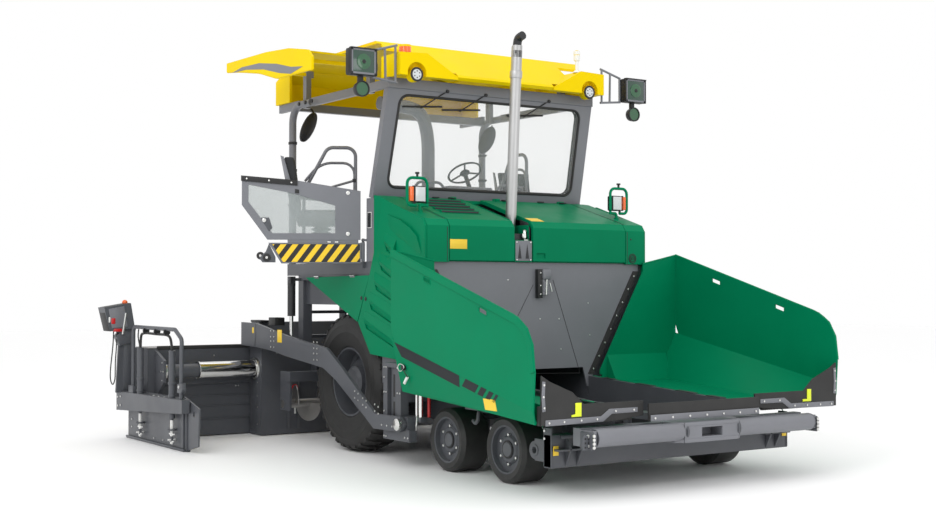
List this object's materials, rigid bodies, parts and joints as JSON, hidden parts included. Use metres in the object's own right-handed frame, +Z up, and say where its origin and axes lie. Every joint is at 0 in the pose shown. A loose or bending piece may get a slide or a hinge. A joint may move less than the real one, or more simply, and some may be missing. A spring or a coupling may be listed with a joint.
{
  "type": "wheeled asphalt paver",
  "caption": "Wheeled asphalt paver with a front hopper of folding wings, slat conveyor, roofed platform with swinging seats, spreading augers and an extending screed on tow arms.",
  "frame": {"origin": "on the ground, under the middle of the whole machine's length and width", "axes": "+X forward to the hopper and push rollers, +Y to the machine's left, +Z up"},
  "size_m": [6.245, 5.56, 3.925],
  "materials": {
    "green_paint": "satin",
    "yellow_paint": "satin",
    "light_grey_paint": "satin",
    "dark_grey_paint": "satin",
    "black_paint": "satin",
    "worn_steel": "worn",
    "stainless": "polished",
    "rubber": "matte",
    "tyre_rubber": "matte",
    "seat_cover": "matte",
    "clear_glass": "polished",
    "black_plastic": "matte"
  },
  "bodies": {
    "tractor": {"chassis": "dark_grey_paint", "bumper": "dark_grey_paint", "tow_guides": "dark_grey_paint", "auger_hanger": "dark_grey_paint", "conveyor": "dark_grey_paint", "rear_body": "dark_grey_paint", "engine": "black_paint", "deck": "dark_grey_paint", "hood": "green_paint", "side_panels": "green_paint", "back_wall": "dark_grey_paint", "rubber_aprons": "rubber", "dashboard": "dark_grey_paint", "windscreen_frame": "black_paint", "windscreen": "clear_glass", "canopy": "yellow_paint", "canopy_frame": "dark_grey_paint", "exhaust": "stainless", "lamps": "black_plastic"},
    "rear_wheel_left": {"rear_rim_left": "light_grey_paint", "rear_tyre_left": "tyre_rubber"},
    "rear_wheel_right": {"rear_rim_right": "light_grey_paint", "rear_tyre_right": "tyre_rubber"},
    "front_knuckle_left": {"front_knuckle_left": "dark_grey_paint"},
    "front_wheel_left": {"front_wheel_left": "tyre_rubber"},
    "front_knuckle_right": {"front_knuckle_right": "dark_grey_paint"},
    "front_wheel_right": {"front_wheel_right": "tyre_rubber"},
    "second_knuckle_left": {"second_knuckle_left": "dark_grey_paint"},
    "second_wheel_left": {"second_wheel_left": "tyre_rubber"},
    "second_knuckle_right": {"second_knuckle_right": "dark_grey_paint"},
    "second_wheel_right": {"second_wheel_right": "tyre_rubber"},
    "wing_left": {"wing_left": "green_paint", "wing_apron_left": "rubber"},
    "wing_right": {"wing_right": "green_paint", "wing_apron_right": "rubber"},
    "push_bar": {"push_bar": "dark_grey_paint"},
    "push_roller_left": {"push_roller_left": "light_grey_paint"},
    "push_roller_right": {"push_roller_right": "light_grey_paint"},
    "hood_lid_left": {"hood_lid_left": "green_paint"},
    "hood_lid_right": {"hood_lid_right": "green_paint"},
    "awning_left": {"awning_left": "yellow_paint"},
    "awning_right": {"awning_right": "yellow_paint"},
    "pod_left": {"pod_left": "light_grey_paint", "pod_glass_left": "clear_glass", "seat_left": "seat_cover"},
    "pod_right": {"pod_right": "light_grey_paint", "pod_glass_right": "clear_glass", "seat_right": "seat_cover"},
    "auger_left": {"auger_left": "worn_steel"},
    "auger_right": {"auger_right": "worn_steel"},
    "screed": {"screed": "dark_grey_paint", "tow_arms": "dark_grey_paint"},
    "extension_left": {"extension_left": "dark_grey_paint", "end_gate_left": "dark_grey_paint"},
    "screed_tube_left": {"screed_tube_left": "worn_steel"},
    "extension_right": {"extension_right": "dark_grey_paint", "end_gate_right": "dark_grey_paint"},
    "screed_tube_right": {"screed_tube_right": "worn_steel"},
    "lift_barrels": {"lift_barrels": "black_paint"},
    "lift_rods": {"lift_rods": "worn_steel"}
  },
  "joints": [
    {"name": "rear_wheel_left_spin", "type": "hinge", "parent": "tractor", "child": "rear_wheel_left", "pos_m": [-0.5825, 1.032, 0.665], "axis": [0, 1, 0], "continuous": true},
    {"name": "rear_wheel_right_spin", "type": "hinge", "parent": "tractor", "child": "rear_wheel_right", "pos_m": [-0.5825, -1.032, 0.665], "axis": [0, 1, 0], "continuous": true},
    {"name": "front_steer_left", "type": "hinge", "parent": "tractor", "child": "front_knuckle_left", "pos_m": [2.0035, 0.83, 0.27], "axis": [0, 0, 1], "range_deg": [-20, 20]},
    {"name": "front_wheel_left_spin", "type": "hinge", "parent": "front_knuckle_left", "child": "front_wheel_left", "pos_m": [2.0035, 1.06, 0.27], "axis": [0, 1, 0], "continuous": true},
    {"name": "front_steer_right", "type": "hinge", "parent": "tractor", "child": "front_knuckle_right", "pos_m": [2.0035, -0.83, 0.27], "axis": [0, 0, 1], "range_deg": [-20, 20]},
    {"name": "front_wheel_right_spin", "type": "hinge", "parent": "front_knuckle_right", "child": "front_wheel_right", "pos_m": [2.0035, -1.06, 0.27], "axis": [0, 1, 0], "continuous": true},
    {"name": "second_steer_left", "type": "hinge", "parent": "tractor", "child": "second_knuckle_left", "pos_m": [1.1505, 0.83, 0.27], "axis": [0, 0, 1], "range_deg": [-13, 13]},
    {"name": "second_wheel_left_spin", "type": "hinge", "parent": "second_knuckle_left", "child": "second_wheel_left", "pos_m": [1.1505, 1.06, 0.27], "axis": [0, 1, 0], "continuous": true},
    {"name": "second_steer_right", "type": "hinge", "parent": "tractor", "child": "second_knuckle_right", "pos_m": [1.1505, -0.83, 0.27], "axis": [0, 0, 1], "range_deg": [-13, 13]},
    {"name": "second_wheel_right_spin", "type": "hinge", "parent": "second_knuckle_right", "child": "second_wheel_right", "pos_m": [1.1505, -1.06, 0.27], "axis": [0, 1, 0], "continuous": true},
    {"name": "wing_left_fold", "type": "hinge", "parent": "tractor", "child": "wing_left", "pos_m": [1.9325, 0.64, 0.635], "axis": [0.9985, 0, -0.0549], "range_deg": [0, 42]},
    {"name": "wing_right_fold", "type": "hinge", "parent": "tractor", "child": "wing_right", "pos_m": [1.9325, -0.64, 0.635], "axis": [-0.9985, 0, 0.0549], "range_deg": [0, 42]},
    {"name": "push_bar_rock", "type": "hinge", "parent": "tractor", "child": "push_bar", "pos_m": [2.7775, 0, 0.45], "axis": [0, 0, 1], "range_deg": [-4, 4]},
    {"name": "push_roller_left_spin", "type": "hinge", "parent": "push_bar", "child": "push_roller_left", "pos_m": [3.0525, 0.725, 0.454], "axis": [0, 1, 0], "continuous": true},
    {"name": "push_roller_right_spin", "type": "hinge", "parent": "push_bar", "child": "push_roller_right", "pos_m": [3.0525, -0.725, 0.454], "axis": [0, 1, 0], "continuous": true},
    {"name": "hood_lid_left_open", "type": "hinge", "parent": "tractor", "child": "hood_lid_left", "pos_m": [0.0495, 0.5, 2.42], "axis": [0, -1, 0], "range_deg": [0, 50]},
    {"name": "hood_lid_right_open", "type": "hinge", "parent": "tractor", "child": "hood_lid_right", "pos_m": [0.0495, -0.5, 2.42], "axis": [0, -1, 0], "range_deg": [0, 50]},
    {"name": "awning_left_slide", "type": "slide", "parent": "tractor", "child": "awning_left", "axis": [0, 1, 0], "range_m": [0, 0.68]},
    {"name": "awning_right_slide", "type": "slide", "parent": "tractor", "child": "awning_right", "axis": [0, 1, 0], "range_m": [0, 0.68]},
    {"name": "pod_left_swing", "type": "hinge", "parent": "tractor", "child": "pod_left", "pos_m": [-0.2125, 1.244, 1.9], "axis": [0, 0, -1], "range_deg": [0, 62]},
    {"name": "pod_right_swing", "type": "hinge", "parent": "tractor", "child": "pod_right", "pos_m": [-0.2125, -1.244, 1.9], "axis": [0, 0, 1], "range_deg": [-62, 0]},
    {"name": "auger_left_spin", "type": "hinge", "parent": "tractor", "child": "auger_left", "pos_m": [-1.9325, 0.63, 0.36], "axis": [0, 1, 0], "continuous": true},
    {"name": "auger_right_spin", "type": "hinge", "parent": "tractor", "child": "auger_right", "pos_m": [-1.9325, -0.63, 0.36], "axis": [0, 1, 0], "continuous": true},
    {"name": "screed_lift", "type": "hinge", "parent": "tractor", "child": "screed", "pos_m": [0.7335, 0, 0.378], "axis": [0, 1, 0], "range_deg": [0, 7]},
    {"name": "extension_left_slide", "type": "slide", "parent": "screed", "child": "extension_left", "axis": [0, -1, 0], "range_m": [0, 1]},
    {"name": "screed_tube_left_slide", "type": "slide", "parent": "screed", "child": "screed_tube_left", "axis": [0, -1, 0], "range_m": [0, 0.64]},
    {"name": "extension_right_slide", "type": "slide", "parent": "screed", "child": "extension_right", "axis": [0, 1, 0], "range_m": [0, 1]},
    {"name": "screed_tube_right_slide", "type": "slide", "parent": "screed", "child": "screed_tube_right", "axis": [0, 1, 0], "range_m": [0, 0.64]},
    {"name": "lift_barrels_swing", "type": "hinge", "parent": "tractor", "child": "lift_barrels", "pos_m": [-1.5225, 0, 1.65], "axis": [0, 1, 0], "range_deg": [-10.3, 0]},
    {"name": "lift_rods_slide", "type": "slide", "parent": "lift_barrels", "child": "lift_rods", "axis": [0, 0, 1], "range_m": [0, 0.264]}
  ],
  "couplings": [
    {"joint": "front_steer_right", "follows": "front_steer_left", "ratio": 1},
    {"joint": "second_steer_left", "follows": "front_steer_left", "ratio": 0.65},
    {"joint": "second_steer_right", "follows": "front_steer_left", "ratio": 0.65},
    {"joint": "screed_tube_left_slide", "follows": "extension_left_slide", "ratio": 0.64},
    {"joint": "screed_tube_right_slide", "follows": "extension_right_slide", "ratio": 0.64},
    {"joint": "lift_barrels_swing", "follows": "screed_lift", "ratio": -1.462},
    {"joint": "lift_rods_slide", "follows": "screed_lift", "m_per_rad": 2.157}
  ]
}
